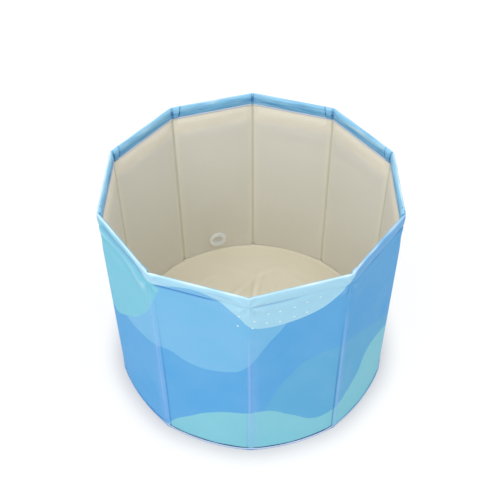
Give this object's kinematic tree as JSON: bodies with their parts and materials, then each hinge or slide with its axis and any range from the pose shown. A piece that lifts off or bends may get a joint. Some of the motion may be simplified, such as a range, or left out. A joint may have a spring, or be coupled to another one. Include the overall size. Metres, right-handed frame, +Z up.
{
  "type": "foldable baby bathtub",
  "caption": "Free-standing fabric bathtub for a baby, a decagon of board-stiffened PVC walls on fold hinges, with a soft floor, a rim hem and a screw-cap drain.",
  "frame": {"origin": "centre of the base sheet, on the floor that the tub stands on", "axes": "+Z up along the tub's centre line; -Y towards the front fold corner, which faces the viewer; +X to the right"},
  "size_m": [0.5978, 0.6074, 0.47],
  "materials": {
    "printed_pvc": "soft gloss PVC sheet, printed with blue waves",
    "hem_pvc": "soft gloss PVC sheet, pale blue",
    "hinge_pvc": "soft gloss PVC, violet blue",
    "cream_pvc": "satin cream PVC sheet",
    "welt_pvc": "soft gloss PVC, pale blue",
    "base_pvc": "soft gloss PVC sheet, blue",
    "board": "plain stiff plastic board, hidden in the wall",
    "drain_plastic": "moulded white plastic",
    "drain_rubber": "grey rubber"
  },
  "bodies": {
    "front_wall_and_floor": {"base_sheet": "base_pvc", "floor_lining": "cream_pvc", "bottom_welt": "welt_pvc", "outer_skin_1": "printed_pvc", "stiffener_board_1": "board", "lining_1": "cream_pvc", "rim_hem_1": "hem_pvc", "fold_hinge_1": "hinge_pvc"},
    "wall_2": {"outer_skin_2": "printed_pvc", "stiffener_board_2": "board", "lining_2": "cream_pvc", "rim_hem_2": "hem_pvc", "fold_hinge_2": "hinge_pvc"},
    "wall_3": {"outer_skin_3": "printed_pvc", "stiffener_board_3": "board", "lining_3": "cream_pvc", "rim_hem_3": "hem_pvc", "fold_hinge_3": "hinge_pvc"},
    "wall_4": {"outer_skin_4": "printed_pvc", "stiffener_board_4": "board", "lining_4": "cream_pvc", "rim_hem_4": "hem_pvc", "fold_hinge_4": "hinge_pvc"},
    "wall_5": {"outer_skin_5": "printed_pvc", "stiffener_board_5": "board", "lining_5": "cream_pvc", "rim_hem_5": "hem_pvc", "fold_hinge_5": "hinge_pvc"},
    "wall_6": {"outer_skin_6": "printed_pvc", "stiffener_board_6": "board", "lining_6": "cream_pvc", "rim_hem_6": "hem_pvc", "fold_hinge_6": "hinge_pvc", "drain_body": "drain_plastic", "drain_nut": "drain_plastic"},
    "wall_7": {"outer_skin_7": "printed_pvc", "stiffener_board_7": "board", "lining_7": "cream_pvc", "rim_hem_7": "hem_pvc", "fold_hinge_7": "hinge_pvc"},
    "wall_8": {"outer_skin_8": "printed_pvc", "stiffener_board_8": "board", "lining_8": "cream_pvc", "rim_hem_8": "hem_pvc", "fold_hinge_8": "hinge_pvc"},
    "wall_9": {"outer_skin_9": "printed_pvc", "stiffener_board_9": "board", "lining_9": "cream_pvc", "rim_hem_9": "hem_pvc", "fold_hinge_9": "hinge_pvc"},
    "wall_10": {"outer_skin_10": "printed_pvc", "stiffener_board_10": "board", "lining_10": "cream_pvc", "rim_hem_10": "hem_pvc", "fold_hinge_10": "hinge_pvc"},
    "cap_seal": {"drain_washer": "drain_rubber"},
    "screw_cap": {"drain_cap": "drain_plastic"}
  },
  "joints": [
    {"name": "fold_2", "type": "hinge", "parent": "front_wall_and_floor", "child": "wall_2", "pos_m": [0.17457, -0.24028, 0], "axis": [0, 0, 1], "range_deg": [0, 72]},
    {"name": "fold_3", "type": "hinge", "parent": "wall_2", "child": "wall_3", "pos_m": [0.28246, -0.09178, 0], "axis": [0, 0, 1], "range_deg": [-87.82, 0]},
    {"name": "fold_4", "type": "hinge", "parent": "wall_3", "child": "wall_4", "pos_m": [0.28246, 0.09178, 0], "axis": [0, 0, 1], "range_deg": [0, 107.14]},
    {"name": "fold_5", "type": "hinge", "parent": "wall_4", "child": "wall_5", "pos_m": [0.17457, 0.24028, 0], "axis": [0, 0, 1], "range_deg": [-175.63, 0]},
    {"name": "fold_6", "type": "hinge", "parent": "wall_5", "child": "wall_6", "pos_m": [0, 0.297, 0], "axis": [0, 0, 1], "range_deg": [0, 84.31]},
    {"name": "fold_1", "type": "hinge", "parent": "front_wall_and_floor", "child": "wall_10", "pos_m": [0, -0.297, 0], "axis": [0, 0, 1], "range_deg": [-84.31, 0]},
    {"name": "fold_10", "type": "hinge", "parent": "wall_10", "child": "wall_9", "pos_m": [-0.17457, -0.24028, 0], "axis": [0, 0, 1], "range_deg": [0, 175.63]},
    {"name": "fold_9", "type": "hinge", "parent": "wall_9", "child": "wall_8", "pos_m": [-0.28246, -0.09178, 0], "axis": [0, 0, 1], "range_deg": [-107.14, 0]},
    {"name": "fold_8", "type": "hinge", "parent": "wall_8", "child": "wall_7", "pos_m": [-0.28246, 0.09178, 0], "axis": [0, 0, 1], "range_deg": [0, 87.82]},
    {"name": "cap_unscrew", "type": "slide", "parent": "wall_6", "child": "cap_seal", "axis": [-0.309, 0.9511, 0], "range_m": [0, 0.012]},
    {"name": "cap_turn", "type": "hinge", "parent": "cap_seal", "child": "screw_cap", "pos_m": [-0.08729, 0.26864, 0.046], "axis": [-0.309, 0.9511, 0], "range_deg": [0, 1080.5]}
  ],
  "couplings": [
    {"joint": "fold_3", "follows": "fold_2", "ratio": -1.2195},
    {"joint": "fold_4", "follows": "fold_2", "ratio": 1.4878},
    {"joint": "fold_5", "follows": "fold_2", "ratio": -2.439},
    {"joint": "fold_6", "follows": "fold_2", "ratio": 1.1707},
    {"joint": "fold_1", "follows": "fold_2", "ratio": -1.1707},
    {"joint": "fold_10", "follows": "fold_2", "ratio": 2.439},
    {"joint": "fold_9", "follows": "fold_2", "ratio": -1.4878},
    {"joint": "fold_8", "follows": "fold_2", "ratio": 1.2195},
    {"joint": "cap_turn", "follows": "cap_unscrew", "rad_per_m": 1570.8}
  ]
}
